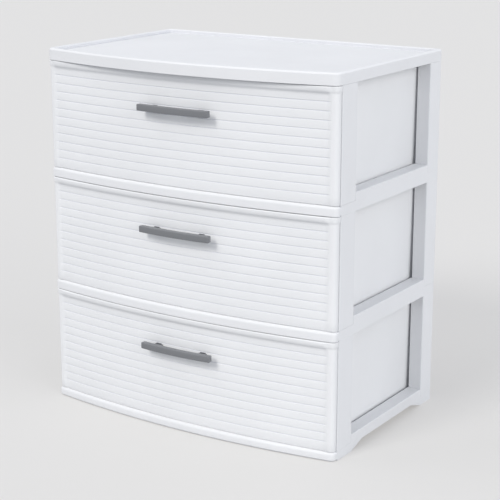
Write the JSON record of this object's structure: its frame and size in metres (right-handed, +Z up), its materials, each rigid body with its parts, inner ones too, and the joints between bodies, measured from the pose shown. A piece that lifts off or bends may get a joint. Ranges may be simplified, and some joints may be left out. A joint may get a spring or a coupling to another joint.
{
  "type": "plastic drawer tower",
  "caption": "Free-standing white plastic drawer tower with bowed, finely reeded drawers, grey bar handles, ribbed corner posts and a shallow tray top.",
  "frame": {"origin": "centre of the bounding box at floor level", "axes": "+Z up from the floor, -Y out of the drawer fronts, +X to the right when the fronts are seen from outside"},
  "size_m": [0.556, 0.383, 0.61],
  "materials": {
    "frame_plastic": "satin",
    "drawer_plastic": "satin",
    "handle_plastic": "satin"
  },
  "bodies": {
    "frame": {"base": "frame_plastic", "lower_shelf": "frame_plastic", "middle_shelf": "frame_plastic", "top_panel": "frame_plastic", "lower_front_left_post": "frame_plastic", "lower_rear_left_post": "frame_plastic", "lower_front_right_post": "frame_plastic", "lower_rear_right_post": "frame_plastic", "middle_front_left_post": "frame_plastic", "middle_rear_left_post": "frame_plastic", "middle_front_right_post": "frame_plastic", "middle_rear_right_post": "frame_plastic", "upper_front_left_post": "frame_plastic", "upper_rear_left_post": "frame_plastic", "upper_front_right_post": "frame_plastic", "upper_rear_right_post": "frame_plastic"},
    "lower_drawer": {"lower_drawer": "drawer_plastic", "lower_handle": "handle_plastic"},
    "middle_drawer": {"middle_drawer": "drawer_plastic", "middle_handle": "handle_plastic"},
    "upper_drawer": {"upper_drawer": "drawer_plastic", "upper_handle": "handle_plastic"}
  },
  "joints": [
    {"name": "lower_drawer_slide", "type": "slide", "parent": "frame", "child": "lower_drawer", "axis": [0, -1, 0], "range_m": [0, 0.215]},
    {"name": "middle_drawer_slide", "type": "slide", "parent": "frame", "child": "middle_drawer", "axis": [0, -1, 0], "range_m": [0, 0.215]},
    {"name": "upper_drawer_slide", "type": "slide", "parent": "frame", "child": "upper_drawer", "axis": [0, -1, 0], "range_m": [0, 0.215]}
  ]
}
